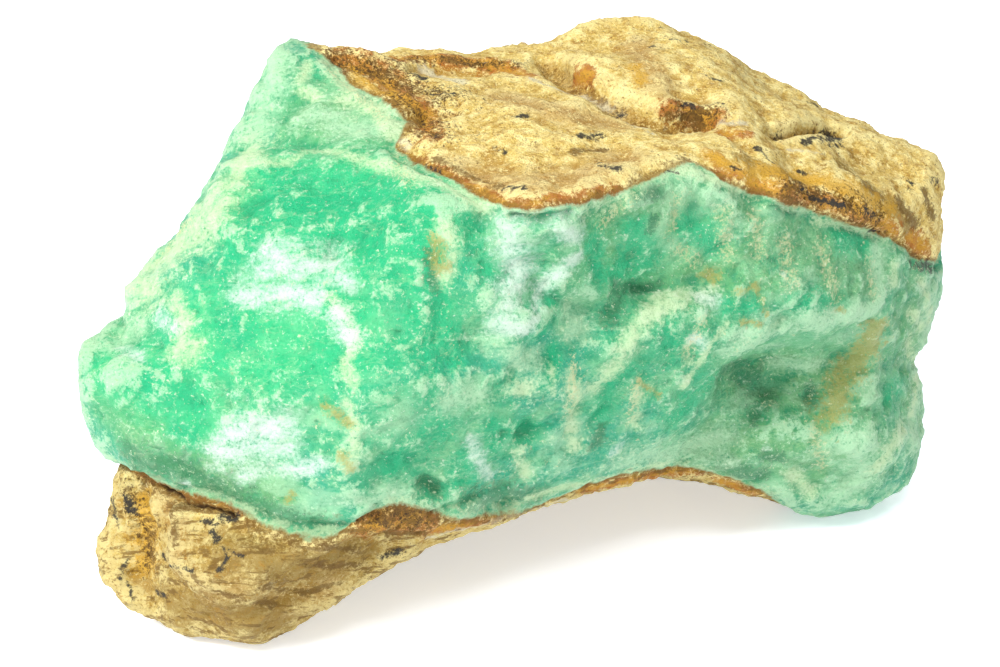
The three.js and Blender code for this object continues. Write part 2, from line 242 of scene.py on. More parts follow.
# Marks on the stone as they are seen from the viewpoint, in millimetres right of and above the middle
# of the view. Each has a half width, and then the points of the line it follows.
marks = {
    "emerald": [  # the left face, where the green is purest and is also painted brighter as the side that the light falls on
        (8, [[-27, 15], [-15, 14]]),
        (6, [[-36, 0], [-20, 0]]),
        (4, [[-47, -5], [-38, -8]]),
        (2.5, [[-9, 8], [-9, 2]]),
    ],
    "rich": [  # clean translucent green, free of clouds
        (4.5, [[-27, 16], [-18, 15], [-12, 14]]),
        (2.5, [[-31, 13], [-30, 9]]),
        (2.0, [[-33, 9], [-33, 6]]),
        (2.2, [[-15, 10], [-13, 5]]),
        (1.8, [[-34, 2], [-32, -1]]),
        (2.2, [[-46, -5], [-43, -6.5]]),
        (1.4, [[-40, -8], [-37, -8.5]]),
        (1.2, [[-24, -6], [-24, -7]]),
        (1.3, [[-40, -12], [-38, -12.5]]),
        (2.4, [[-9, 8], [-9, 2], [-11, -2]]),
        (2.4, [[-9.5, -1], [-9, -6], [-8, -12]]),
        (1.4, [[-7, 1], [-6, -3.5]]),
        (1.8, [[-14, -16], [-12, -13.5]]),
        (1.0, [[-4, 14], [-3, 12.5]]),
        (1.2, [[-3, 11], [-2, 8]]),
        (1.7, [[11, 12], [12, 7]]),
        (2.3, [[16, 13], [18, 9.5], [14, 8]]),
        (2.0, [[23, 14], [26, 12]]),
        (1.3, [[6, 4], [4.5, 1]]),
        (1.1, [[6.5, -2], [5.5, -6]]),
        (2.0, [[15, -2.5], [13.5, -6], [12, -9.5]]),
        (1.8, [[21, 1], [21, -1.5]]),
        (1.2, [[28, 3.5], [31.5, 4]]),
        (1.8, [[2, -11.5], [4, -12]]),
        (1.6, [[-4, -15], [-5, -18]]),
        (1.1, [[-1.5, -10.5], [-1, -13.5]]),
        (2.6, [[25, -6], [22, -9.5]]),
        (1.5, [[47.5, -8], [49, -6.5]]),
        (1.9, [[42, 12.5], [45, 11]]),
        (1.6, [[36, 3.5], [38.5, 4], [42, 3]]),
    ],
    "moss": [  # yellower, towards the right end
        (7, [[16, 13], [30, 12], [44, 8]]),
        (6, [[30, -4], [44, -6]]),
        (5, [[26, -14], [44, -16]]),
        (6, [[51, 4], [52, -10]]),
        (4, [[-22, 27], [-15, 24]]),
        (3, [[-47, -9], [-43, -13], [-36, -17], [-28, -20.5]]),
    ],
    "pale": [  # milky, washed-out green
        (2.6, [[-28, 34], [-29, 29], [-30.5, 24]]),
        (2.4, [[-23, 27], [-17, 24.5]]),
        (1.4, [[28, 0], [35, 1.6], [42, 2.4], [46.5, 3.2]]),
        (0.9, [[27.5, -1.7], [33, -0.8]]),
        (1.4, [[35, -4], [38.5, -3.5]]),
        (1.5, [[46.5, 10.5], [46.5, 6]]),
        (2.0, [[8, 3], [9, 1]]),
        (2.0, [[-1, -1], [3, -3]]),
        (2.6, [[28, -13], [22, -14], [16, -15]]),
        (1.8, [[-7, -8], [-3, -7]]),
        (2.4, [[43, -13], [46, -17], [41, -20]]),
        (1.6, [[-44, 1], [-48, -2]]),
        (2.6, [[52.5, 6], [53, -1]]),
        (2.4, [[51.5, -6], [50.5, -13]]),
        (1.6, [[-16, -20], [-12, -19.5]]),
    ],
    "frostAndSheen": [  # whitish patches: partly finely crystalline, partly a painted sheen where the broken faces catch the light
        (2.5, [[-28.5, 8.6], [-21, 8.3]]),
        (1.9, [[-31.5, 4.8], [-23, 4.8]]),
        (1.1, [[-20, 7], [-18.5, 6]]),
        (1.2, [[-20, 2.5], [-18.5, -0.5]]),
        (2.3, [[-33, -12], [-27, -11.8]]),
        (1.8, [[-34.5, -14.5], [-26, -14]]),
        (1.0, [[-32, -17.3], [-29, -16.8], [-22, -16]]),
        (0.9, [[-42, 2], [-40, 0.5]]),
        (0.9, [[-47, -2.3], [-44.5, -3.5]]),
        (0.6, [[-38.8, -18.3]]),
        (2.2, [[1, 12.5], [2, 8], [1, 4]]),
        (1.0, [[9, 10], [7, 8], [5, 5], [3.5, 2]]),
        (1.3, [[7.5, 13.8], [9, 12.5]]),
        (1.1, [[-1, 1.5], [3, 0.8]]),
        (0.9, [[-4, -13], [-3, -15.5], [-1.8, -17]]),
        (1.2, [[25, 4.5], [26.5, 4]]),
        (0.8, [[24, 0], [25, -1]]),
        (0.6, [[13.5, -14.5], [14.5, -13.7]]),
        (0.4, [[35.2, 7.3]]),
        (0.5, [[33, -13.7]]),
    ],
    "cream": [  # pale yellowish lines and films; the first two, along the left edge, are partly painted light on a facet turned to the light
        (3.0, [[-35, 17], [-38, 12], [-41, 9], [-44, 7], [-43, 5]]),
        (2.2, [[-31, 22], [-33.5, 17.5], [-36.5, 12]]),
        (1.0, [[-19, 29], [-15, 27], [-12.5, 25]]),
        (0.8, [[52, 7], [53, 2]]),
        (0.8, [[50.5, 0], [51.5, -5], [50.5, -10]]),
        (1.4, [[-40, 4], [-39, 1], [-40, -2], [-38, -2]]),
        (0.7, [[-33, 20.5], [-29, 20.6], [-26, 21], [-24, 22.6], [-20, 22]]),
        (1.0, [[-20, 22], [-14, 20.3], [-9, 18.7], [-5, 17], [-2, 15.6]]),
        (0.9, [[-20, 28.5], [-16, 28], [-13, 26], [-11, 23.5]]),
        (0.8, [[-24, 33], [-25, 30.5], [-23, 29]]),
        (1.1, [[-22, 33], [-19, 30.4], [-16, 28.4], [-14, 26.4], [-13.4, 24.5]]),
        (0.8, [[-21, 4.5], [-19, 2], [-18, -1], [-19, -4], [-18, -6]]),
        (0.6, [[-19, -8], [-18, -11], [-18.5, -16]]),
        (1.0, [[-7, 13.5], [-6, 10], [-7, 7]]),
        (1.3, [[26, 5.3], [20, 3.3], [17, 0.8], [13.8, -4], [11.5, -6]]),
        (0.5, [[28, 1.5], [26, -1], [24, -4], [22.5, -6.2]]),
        (0.9, [[23.5, -1], [23.3, -3]]),
        (1.0, [[8.5, -5], [9, -8], [8.5, -11], [9, -14]]),
        (0.4, [[6, -4], [6.3, -7]]),
        (1.1, [[1, -6], [3, -7]]),
        (0.8, [[17, -6], [17, -9], [16.5, -11]]),
        (0.8, [[2, -14.5], [3, -17]]),
        (0.7, [[3, -20], [9, -18.3], [14, -17.3], [20, -16]]),
        (1.2, [[49.5, -12], [47, -16]]),
        (1.2, [[36, -17], [38.5, -19.3]]),
        (1.0, [[51, 3], [52, 1]]),
        (0.7, [[48.6, 8.5], [48.6, 6]]),
        (0.5, [[39, 14.2], [43, 13.7], [46.5, 12.6]]),
        (0.8, [[22, 20.5], [26, 19.4], [30, 18.2]]),
    ],
    "deep": [  # dark green: partly the stone's own, partly painted shade under the lip, in the pocket and the hollow and along the bottom edges
        (2.0, [[-45, -15], [-41, -16.2], [-37, -17.8], [-33, -19.8]]),
        (1.7, [[-31, -21], [-26, -23.2], [-21, -24.8]]),
        (0.9, [[-10, -18], [-8, -19.5]]),
        (0.8, [[-8.7, 10.5], [-8.5, 6]]),
        (1.2, [[14, 6], [19, 6.2]]),
        (1.3, [[14, 3.5], [13.5, 1.8]]),
        (0.5, [[1.3, 14.6], [5, 14.4], [9, 15.3]]),
        (1.7, [[28, -4], [31.5, -5.3]]),
        (1.5, [[33, -8.5], [31.5, -10]]),
        (1.0, [[38.5, -7], [39, -8.5]]),
        (1.3, [[28, -16], [32, -17.3]]),
        (0.9, [[35, -15], [33, -14.7]]),
        (1.0, [[12, -12], [11.5, -13.3]]),
        (0.9, [[17, 17.3], [19.5, 17.8]]),
        (0.7, [[19, 14.5], [18.5, 13.5]]),
        (0.7, [[34, 16.2], [36.5, 15.3]]),
        (1.8, [[4, -19.5], [-4, -20.5]]),
    ],
    "film": [  # tan and olive films on the green
        (0.8, [[-21.5, -8.6], [-20, -9.6], [-18.5, -11]]),
        (0.6, [[-26.3, -20.5], [-25.7, -20]]),
        (0.7, [[-19.5, -15], [-19, -16.5]]),
        (1.0, [[-8, 11.3], [-7.5, 8.3]]),
        (0.8, [[25.5, 7.5], [27, 7]]),
        (0.4, [[29, 5.2], [31.5, 6.3], [33, 2.5]]),
        (0.4, [[42, 3.2], [42.5, 3]]),
        (2.1, [[46.5, 1], [45.5, -1.5], [43.5, -4], [42, -7], [41, -10]]),
        (0.5, [[30, 1.7], [32, 1.5]]),
        (0.4, [[17, -5.5], [19.5, -7.5]]),
    ],
    "sand": [  # scattered beige grains on the green
        (2.0, [[27.5, 15.5], [28, 10]]),
        (1.8, [[31.5, 15], [32, 10]]),
        (2.0, [[35, 12], [36, 6.5]]),
        (2.0, [[39.5, 11], [41.5, 4.5]]),
        (1.8, [[22, 11], [24, 9.5]]),
        (1.2, [[45.5, 9], [46, 5]]),
        (1.6, [[22, 17], [21, 13]]),
        (1.6, [[16, 17], [12, 14]]),
        (1.6, [[39, -12], [40, -16]]),
        (1.4, [[17, -5], [16, -10]]),
        (1.4, [[25, 2], [23, -2]]),
        (1.4, [[9, -3], [8.5, -9]]),
        (1.4, [[-13, 22], [-11, 18]]),
        (1.6, [[-38, 14], [-42, 9]]),
        (1.3, [[-21, 32], [-17, 29], [-14, 26]]),
    ],
    "rust": [  # orange-brown, gritty
        (2.4, [[-20, 33.3], [-16, 31.8], [-12.5, 29.5], [-10, 27]]),
        (1.6, [[-15, 31], [-11, 27.5], [-9, 25], [-8.5, 24.3]]),
        (0.5, [[-46, -16.8], [-43, -18.3], [-40, -19.6], [-36, -20.8], [-32, -22.4]]),
        (1.2, [[-13, 33.8], [-6, 33.8], [0, 32.8], [4, 32.2]]),
        (1.0, [[9, 33], [11, 32.4]]),
        (0.7, [[-13, 22.6], [-10, 21.2], [-7, 20.1], [-4, 18.8], [-2, 17.6], [0, 16.4], [3, 15.8], [5, 16]]),
        (0.8, [[6, 16.8], [10, 16.6], [13, 17.8], [15, 18]]),
        (0.9, [[27, 19.8], [30, 20]]),
        (0.9, [[31, 18.8], [34, 17.6]]),
        (1.3, [[35, 18], [39, 16.8], [43, 15.6], [47, 14.2], [49, 12.8]]),
        (1.2, [[21, 28], [24, 27.5], [27, 27]]),
        (0.8, [[28, 25], [31, 25]]),
        (1.0, [[26.5, 22.3], [28, 21.5]]),
        (1.2, [[51.5, 12], [53, 10.3]]),
        (2.3, [[-16, -23.3], [-12.5, -22.8], [-9.5, -23]]),
        (0.8, [[-9, -24.5], [-5, -24], [0, -22.9]]),
        (0.7, [[10, -19.4], [14, -18.9]]),
        (0.7, [[15, -18.6], [20, -17.4], [25, -17.1]]),
        (0.7, [[27, -18.3], [33, -20]]),
    ],
    "umber": [  # brown patches
        (0.5, [[-22, -26.6], [-17, -27.4]]),
        (0.4, [[-27, -28.6], [-21, -29.2], [-17.5, -28.6]]),
        (0.4, [[-30, -31.5], [-24, -32.2], [-20, -31]]),
        (0.35, [[-38, -31], [-33, -33], [-28, -33.8]]),
        (0.5, [[-41, -22], [-40.4, -26]]),
        (0.5, [[-14, -25], [-9, -24.6]]),
        (0.8, [[50, 16.5], [52, 13.5]]),
        (0.6, [[45.5, 18.5], [48, 16.8]]),
        (0.7, [[53, 17.5], [54, 14.5]]),
        (0.5, [[-8, 21.6], [-4, 20], [0, 18.3]]),
        (0.5, [[-16, 31], [-13, 28.6]]),
        (0.5, [[-7, 33.6], [-2, 33]]),
        (0.6, [[33, 20], [37, 18.6]]),
        (0.5, [[9, 22.5], [13, 23]]),
        (0.5, [[21, 27.4], [25, 26.9]]),
    ],
    "dun": [  # pinkish tan
        (3.0, [[-6, 20.5], [2, 18.5], [9, 19.5], [15, 21.5]]),
        (2.5, [[1, 29.5], [8, 27.5], [14, 26]]),
        (2.0, [[17, 36], [20, 31]]),
        (3.0, [[-36, -33], [-28, -34], [-22, -31]]),
        (1.6, [[-42, -20], [-40.5, -24], [-41, -29]]),
    ],
    "olive": [  # brownish yellow; on the boss also painted shade, darker on its lower part
        (3.5, [[-34, -27], [-24, -29], [-19, -27]]),
        (3.5, [[-40, -34], [-28, -36]]),
        (1.5, [[-22, -30], [-16, -27]]),
        (1.2, [[43, 21], [48, 17], [51, 13]]),
        (1.2, [[30, 22], [36, 19]]),
    ],
    "amber": [  # bright yellow and crumbly
        (1.6, [[-45.3, -21.5], [-44.6, -24], [-44.3, -27], [-44.8, -29]]),
        (1.0, [[17, 33], [17.5, 31.5]]),
        (1.6, [[31, 20.5], [37, 19.5], [42, 18.5], [48, 15.5]]),
        (1.0, [[26.5, 22.3], [28.5, 21.3]]),
        (1.0, [[-19, 32.5], [-14, 29.5], [-10, 26]]),
    ],
    "soot": [  # black manganese blooms
        (0.7, [[-11, 32], [-9.5, 31.3]]),
        (0.5, [[-9, 29], [-6, 29]]),
        (0.5, [[1.5, 27], [3.5, 27.2]]),
        (0.4, [[-0.5, 23.2], [0.5, 22.5]]),
        (0.7, [[10, 24.5], [12.5, 24.7]]),
        (0.6, [[12.5, 21], [14.5, 20.5]]),
        (0.5, [[14, 28.8], [15, 28.7]]),
        (0.4, [[0.5, 18], [3, 17.8]]),
        (0.4, [[-8.5, 24], [-7.5, 24.2]]),
        (0.4, [[-9, 20.8], [-7.5, 20]]),
        (0.4, [[20.3, 38.4], [21.5, 38.2]]),
        (0.4, [[21.5, 36.3], [23.3, 36.3]]),
        (0.5, [[19, 35.8], [20, 35.5]]),
        (0.3, [[25, 32.2], [28, 31.3]]),
        (0.5, [[23, 28.3], [23.8, 28]]),
        (0.5, [[27, 28.3], [27.8, 28]]),
        (0.4, [[22, 26], [24.5, 26]]),
        (0.4, [[38.5, 28.7], [39.3, 28.5]]),
        (0.4, [[35, 25.6], [37, 25.4], [42, 25.8]]),
        (0.7, [[38, 24], [41, 24], [43, 25]]),
        (0.5, [[41, 23.2], [42.5, 23.5]]),
        (0.4, [[29, 20.8], [30, 20.5]]),
        (0.4, [[32, 23], [34, 21]]),
        (0.4, [[37.5, 20.3], [38, 20.3]]),
        (0.4, [[37, 18], [39, 16.6], [41, 16.2], [42.5, 16]]),
        (0.4, [[45, 15.5], [47, 14.5]]),
        (0.4, [[46, 13], [48, 12.8]]),
        (0.5, [[51.4, 18.8], [51, 18]]),
        (0.5, [[54, 19.2], [54.7, 19]]),
        (0.8, [[51, 8.8], [54, 8.3]]),
        (0.6, [[-46.3, -20.6], [-45.8, -22.3]]),
        (0.4, [[-48.4, -20.5], [-48, -22.5], [-47.5, -24]]),
        (0.7, [[-34.8, -23], [-33, -23]]),
        (0.3, [[-37, -23.3], [-35.5, -23.8]]),
        (0.5, [[-36, -24.7], [-35.3, -25.8]]),
        (0.3, [[-35, -26.5], [-33.5, -27.4], [-32, -27.8]]),
        (0.35, [[-42.2, -27.5], [-41, -29], [-38.5, -29.6]]),
        (0.4, [[-34.3, -28.1], [-35, -29.3]]),
        (0.5, [[-42.6, -32.4], [-42, -32.6]]),
        (0.3, [[-46.5, -28], [-47.5, -30.5]]),
        (0.3, [[-46.5, -31], [-45.8, -33]]),
        (0.4, [[-15, -28], [-12, -27]]),
        (0.3, [[21, 20.3], [22, 20]]),
    ],
    "chalk": [  # white and grey streaks on the rind
        (0.9, [[-9.5, 32.6], [-6.5, 31.8], [-4.5, 31.1]]),
        (0.6, [[4, 31.7], [9, 30.8], [13, 29.6], [15, 28.8]]),
        (0.5, [[16, 27], [19, 25]]),
        (0.7, [[-13, 24], [-11.5, 23.5]]),
        (0.4, [[36, 23], [40, 22.5]]),
        (0.4, [[27, 26.4], [31, 26.4]]),
        (0.4, [[-9, -25.5], [-3, -24], [3, -22.2], [10, -20.5]]),
    ],
    "crumble": [  # where the rind is loose and gritty
        (2.8, [[-20, 33.5], [-15, 32], [-10, 29.5], [-6, 29]]),
        (2.2, [[-13, 29], [-10, 26.5], [-8, 24.5]]),
        (1.2, [[-13, 33.5], [-6, 33.5], [2, 33]]),
        (2.0, [[-16, -23.3], [-12.5, -22.8], [-9.5, -23]]),
        (1.2, [[-46.3, -20], [-45, -24], [-44, -27], [-44.5, -29.5]]),
        (1.4, [[35, 18], [41, 16.8], [47, 14.4]]),
        (1.2, [[21, 28], [27, 27.3]]),
    ],
    "seam": [  # where the hump overlies the slab
        (1.3, [[5.5, 34.5], [7, 32.8], [10, 31.2], [14, 29], [18.5, 27.2], [22.5, 26], [25.5, 26.3]]),
        (0.8, [[34, 25.2], [38, 25.5], [43, 25.2]]),
    ],
    "crack": [  # the open parting under the green, painted dark: partly its own brown line, partly the shade inside the gap
        (0.25, [[-45, -17.9], [-43, -18.9], [-41.5, -19.8]]),
        (0.36, [[-42, -19.6], [-39.5, -20.6], [-37, -21.4]]),
        (0.26, [[-37, -21.4], [-34.5, -22.1], [-33, -23]]),
    ],
    "dent": [  # hollows and undercuts
        (2.6, [[29, -4.5], [34, -4.8]]),
        (1.2, [[3, -12]]),
        (0.7, [[1.5, 14.3], [5, 14.1], [9, 15]]),
        (1.3, [[-45.2, -21], [-44.5, -24], [-44.2, -27], [-44.8, -30]]),
        (1.0, [[-9.5, -18.5], [-8, -19.5]]),
    ],
}


# The same from behind, where right is towards the boss.
farMarks = {
    "emerald": [
        (7, [[10, -8], [24, -6]]),
        (4, [[-34, -14], [-24, -17]]),
    ],
    "rich": [
        (3, [[14, -6], [20, -3]]),
        (2, [[30, -2], [33, 3]]),
        (2.4, [[-10, -15], [-3, -16]]),
        (2, [[-38, -17], [-32, -20]]),
        (1.6, [[36, -6], [40, -4]]),
    ],
    "moss": [
        (7, [[-46, -16], [-32, -20]]),
        (5, [[-6, -22], [8, -23]]),
    ],
    "pale": [
        (2.2, [[6, -1], [11, -8], [12, -16], [10, -24]]),
        (1.8, [[24, 8], [28, 0], [36, -6]]),
        (2, [[-26, -11], [-22, -17], [-24, -24]]),
        (1.5, [[-44, -12], [-42, -18]]),
        (2.2, [[25, -16], [31, -17]]),
    ],
    "frostAndSheen": [
        (2.2, [[18, -10], [23, -12]]),
        (1.6, [[-14, -11], [-10, -10]]),
        (1.4, [[-36, -24], [-31, -25]]),
        (1.2, [[33, 0], [36, -3]]),
    ],
    "cream": [
        (1, [[-42, -13], [-32, -14], [-24, -18], [-13, -19]]),
        (0.8, [[0, -8], [4, -14], [3, -21]]),
        (1, [[16, 8], [20, 1], [28, -4], [38, -8]]),
        (0.8, [[22, -14], [28, -12], [36, -13]]),
        (0.7, [[-18, -8], [-16, -14], [-19, -21]]),
    ],
    "deep": [
        (2.4, [[0, -18], [2, -13]]),
        (1.8, [[-30, -18], [-28, -23]]),
        (1.8, [[19, -6], [17, -17]]),
        (1.4, [[30, -12], [34, -15]]),
    ],
    "film": [
        (1.2, [[-22, -9], [-18, -12], [-12, -13]]),
        (0.8, [[24, -8], [30, -9]]),
    ],
    "sand": [
        (2, [[-40, -12], [-39, -17]]),
        (2, [[-30, -9], [-29, -15]]),
        (1.8, [[-8, -8], [-8, -13]]),
        (1.8, [[1, -3], [2, -8]]),
        (1.6, [[20, 4], [23, -2]]),
        (1.6, [[10, -17], [16, -20]]),
    ],
    "rust": [
        (0.9, [[-52, -8], [-46, -9], [-38, -8]]),
        (0.8, [[-26, -5], [-18, -6], [-8, -5]]),
        (1.2, [[-2, -2], [5, 1]]),
        (1.6, [[-40, -2], [-34, 0]]),
        (1.4, [[-10, 3], [-3, 6]]),
        (1.2, [[-18, -27], [-8, -29]]),
        (1.2, [[8, -30], [20, -28]]),
        (1, [[30, -23], [38, -18]]),
    ],
    "dun": [
        (4, [[-42, -3], [-32, -2]]),
        (3.5, [[-14, 4], [-4, 2]]),
        (3, [[2, -31], [14, -31]]),
    ],
    "amber": [
        (1.6, [[-24, 2], [-18, 0]]),
        (1.2, [[-4, -31], [2, -32]]),
    ],
    "soot": [
        (0.8, [[-35, -4], [-31, -5]]),
        (0.5, [[-46, -5], [-43, -6]]),
        (0.6, [[-22, 5], [-18, 6]]),
        (0.4, [[-12, -2], [-8, -1]]),
        (0.4, [[-27, 8], [-24, 9]]),
        (0.5, [[8, -32], [12, -33]]),
        (0.4, [[24, -28], [28, -26]]),
    ],
    "chalk": [
        (0.6, [[-34, 6], [-28, 4], [-22, 0]]),
        (0.5, [[16, -31], [24, -28]]),
    ],
    "crumble": [
        (2.2, [[-40, -2], [-34, 0]]),
        (2, [[-10, 3], [-3, 6]]),
        (1.6, [[-18, -27], [-8, -29]]),
    ],
    "dent": [
        (2.6, [[-3, -15], [3, -17]]),
        (2.2, [[-32, -18], [-28, -21]]),
        (1.8, [[17, -5], [18, -15]]),
        (1.6, [[-20, -2], [-12, 0]]),
    ],
}


markStep = 0.5  # mm between the places where the line of a mark is laid on the stone


# Value 1 on a mark's line, a half at its half width, and 0 at twice that and beyond.
def markStrength(spots, tree, drawn, walk=0):
    strength = np.zeros(len(spots))
    for halfWidth, line in drawn:
        line = np.array(line, float)
        pieces = max(2, int(np.abs(np.diff(line, axis=0)).sum() / markStep))
        along = np.linspace(0, len(line) - 1, pieces)
        steps = np.arange(len(line))
        points = zip(np.interp(along, steps, line[:, 0]), np.interp(along, steps, line[:, 1]))
        places = placesOn(tree, points, walk)
        if places:
            gap = np.min([np.linalg.norm(spots - place, axis=1) for place in places], axis=0)
            strength = np.maximum(strength, 1 - gap / (2 * halfWidth))
    return strength


def markSkin(stone):
    mesh = stone.data
    spots, _ = pointsOf(mesh)
    tree = BVHTree.FromObject(stone, bpy.context.evaluated_depsgraph_get())
    layers = {name: insideOutline(spots, tree, outline) for name, outline in outlines.items()}
    for name, drawn in marks.items():
        near = markStrength(spots, tree, drawn)
        far = markStrength(spots, tree, farMarks.get(name, []), viewpoint["behind"])
        layers[name] = np.maximum(near, far)
    for name, values in layers.items():
        mesh.attributes.new(name, "FLOAT", "POINT").data.foreach_set("value", values.astype(np.float32))


# Relief finer than the frame's. Sizes and depths are in mm.
relief = {
    "lumpSize": 6,  # upper rind
    "lumpDepth": 0.8,
    "gritSize": 1.3,  # upper rind and crust
    "gritDepth": 0.4,
    "grooveSize": 2.4,  # crust
    "grooveDepth": 0.5,
    "crumbSize": 2.0,  # where the rind is loose
    "crumbDepth": 1.4,
    "scallopSize": 9,  # broken green
    "scallopDepth": 1.6,
    "chipSize": 2.2,
    "chipDepth": 0.6,
    "warpSize": 4,  # the bends in the edges of the scallops
    "warpDepth": 4,
    "seamShift": 0.5,  # how far outside a rock's outline the seam along it lies
    "seamDepth": 0.6,
    "creaseDepth": 2.2,  # where the hump overlies the slab
    "crackDepth": 1.8,
    "dentDepth": 1.4,
    "seed": 4,
}

# Where each part of the relief begins, and where it is whole.
fades = {
    "rock": (-0.4, 0.4),  # mm inside an outline
    "loose": (0.2, 0.6),  # strength of a mark, as in the next three
    "crack": (0.3, 0.8),
    "crease": (0.1, 0.9),
    "dent": (0.1, 0.9),
    "seam": (1.0, 0.2),  # mm from the middle of the seam
    "noise": (0.66, 0.34),  # values of a noise pattern, which is deepest where it is low
    "cells": (0.8, 0.1),  # the same for cells
    "table": (0.2, 2.0),  # mm above the table, since the worn flats stay as they are
}
groove = {
    "turn": (0, 35, 20),  # degrees, turns X to the way the grooves and streaks run
    "stretch": (0.22, 1, 1),  # under 1 draws the grooves out along that way
}


# How far each kind of ground covers a place, from 0 to 1.
def makeCovers(tree, layer):
    cover = {}
    for name, source, (low, high) in [
        ("rind", layer["inside"], fades["rock"]),
        ("top", layer["rind"], fades["rock"]),
        ("loose", layer["crumble"], fades["loose"]),
    ]:
        cover[name] = addNode(
            tree, "ShaderNodeMapRange", {"Value": source, "From Min": low, "From Max": high}
        ).outputs[0]
    for name, whole, part in [("green", 1.0, cover["rind"]), ("crust", cover["rind"], cover["top"])]:
        cover[name] = addNode(tree, "ShaderNodeMath", {0: whole, 1: part}, operation="SUBTRACT").outputs[0]
    return cover


# The depth in mm of what is strewn over each kind of ground.
def sinkGround(tree, asked, place, cover):
    warpScale = addNode(tree, "ShaderNodeMath", {0: 1.0, 1: asked["warpSize"]}, operation="DIVIDE")
    warp = addNode(
        tree, "ShaderNodeTexNoise", {"Vector": place, "Scale": warpScale.outputs[0], "Detail": 4}
    )
    bent = addNode(
        tree,
        "ShaderNodeVectorMath",
        {0: warp.outputs["Color"], 1: asked["warpDepth"], 2: place},
        operation="MULTIPLY_ADD",
    ).outputs[0]
    turned = addNode(
        tree,
        "ShaderNodeVectorRotate",
        {"Vector": place, "Rotation": [math.radians(angle) for angle in groove["turn"]]},
        rotation_type="EULER_XYZ",
    )
    drawn = addNode(
        tree, "ShaderNodeVectorMath", {0: turned.outputs[0], 1: groove["stretch"]}, operation="MULTIPLY"
    ).outputs[0]
    depth = 0.0
    for kind, shape, where, part in [
        ("lump", "noise", place, "top"),
        ("grit", "noise", place, "rind"),
        ("groove", "noise", drawn, "crust"),
        ("crumb", "cells", place, "loose"),
        ("scallop", "cells", bent, "green"),
        ("chip", "noise", place, "green"),
    ]:
        scale = addNode(tree, "ShaderNodeMath", {0: 1.0, 1: asked[kind + "Size"]}, operation="DIVIDE")
        if shape == "noise":
            pattern = addNode(
                tree,
                "ShaderNodeTexNoise",
                {"Vector": where, "Scale": scale.outputs[0], "Detail": 4, "Roughness": 0.6},
            )
        else:
            pattern = addNode(
                tree, "ShaderNodeTexVoronoi", {"Vector": where, "Scale": scale.outputs[0], "Detail": 2}
            )
        low, high = fades[shape]
        hollow = addNode(  # as much above the frame's surface as below it
            tree,
            "ShaderNodeMapRange",
            {"Value": pattern.outputs[0], "From Min": low, "From Max": high, "To Min": -0.5, "To Max": 0.5},
        )
        sunk = addNode(
            tree, "ShaderNodeMath", {0: hollow.outputs[0], 1: asked[kind + "Depth"]}, operation="MULTIPLY"
        )
        depth = addNode(
            tree, "ShaderNodeMath", {0: sunk.outputs[0], 1: cover[part], 2: depth}, operation="MULTIPLY_ADD"
        ).outputs[0]
    return depth


# Adds the depth of the cracks, creases, dents and seams.
def sinkLines(tree, asked, layer, depth):
    shifted = addNode(tree, "ShaderNodeMath", {0: layer["inside"], 1: asked["seamShift"]})
    besideSeam = addNode(tree, "ShaderNodeMath", {0: shifted.outputs[0]}, operation="ABSOLUTE").outputs[0]
    for kind, source in [
        ("crack", layer["crack"]),
        ("crease", layer["seam"]),
        ("dent", layer["dent"]),
        ("seam", besideSeam),
    ]:
        low, high = fades[kind]
        sunk = addNode(
            tree,
            "ShaderNodeMapRange",
            {"Value": source, "From Min": low, "From Max": high, "To Max": asked[kind + "Depth"]},
            interpolation_type="SMOOTHSTEP",
        )
        depth = addNode(tree, "ShaderNodeMath", {0: depth, 1: sunk.outputs[0]}).outputs[0]
    return depth


def makeReliefTree():
    tree = bpy.data.node_groups.new("reliefOfBothRocks", "GeometryNodeTree")
    tree.interface.new_socket("Geometry", in_out="INPUT", socket_type="NodeSocketGeometry")
    for name in relief:
        tree.interface.new_socket(name, in_out="INPUT", socket_type="NodeSocketFloat")
    tree.interface.new_socket("Material", in_out="INPUT", socket_type="NodeSocketMaterial")
    tree.interface.new_socket("Geometry", in_out="OUTPUT", socket_type="NodeSocketGeometry")
    asked = addNode(tree, "NodeGroupInput").outputs
    position = addNode(tree, "GeometryNodeInputPosition").outputs[0]
    place = addNode(
        tree,
        "ShaderNodeVectorMath",
        {0: position, 1: (metre, metre, metre), 2: asked["seed"]},
        operation="MULTIPLY_ADD",
    ).outputs[0]
    layer = {
        name: addNode(tree, "GeometryNodeInputNamedAttribute", {"Name": name}, data_type="FLOAT").outputs[0]
        for name in ("rind", "crust", "crumble", "seam", "crack", "dent")
    }
    layer["inside"] = addNode(
        tree, "ShaderNodeMath", {0: layer["rind"], 1: layer["crust"]}, operation="MAXIMUM"
    ).outputs[0]
    depth = sinkGround(tree, asked, place, makeCovers(tree, layer))
    depth = sinkLines(tree, asked, layer, depth)

    height = addNode(tree, "ShaderNodeSeparateXYZ", {0: position}).outputs["Z"]
    low, high = [level / metre for level in fades["table"]]
    clear = addNode(  # metres inward for each mm of depth
        tree,
        "ShaderNodeMapRange",
        {"Value": height, "From Min": low, "From Max": high, "To Max": -1 / metre},
    )
    inward = addNode(tree, "ShaderNodeMath", {0: depth, 1: clear.outputs[0]}, operation="MULTIPLY")
    offset = addNode(
        tree,
        "ShaderNodeVectorMath",
        {0: addNode(tree, "GeometryNodeInputNormal").outputs[0], "Scale": inward.outputs[0]},
        operation="SCALE",
    )
    cut = addNode(
        tree, "GeometryNodeSetPosition", {"Geometry": asked["Geometry"], "Offset": offset.outputs[0]}
    )
    real = addNode(tree, "GeometryNodeRealizeInstances", {"Geometry": cut.outputs[0]})
    coated = addNode(
        tree, "GeometryNodeSetMaterial", {"Geometry": real.outputs[0], "Material": asked["Material"]}
    )
    addNode(tree, "NodeGroupOutput", {"Geometry": coated.outputs[0]})
    return tree


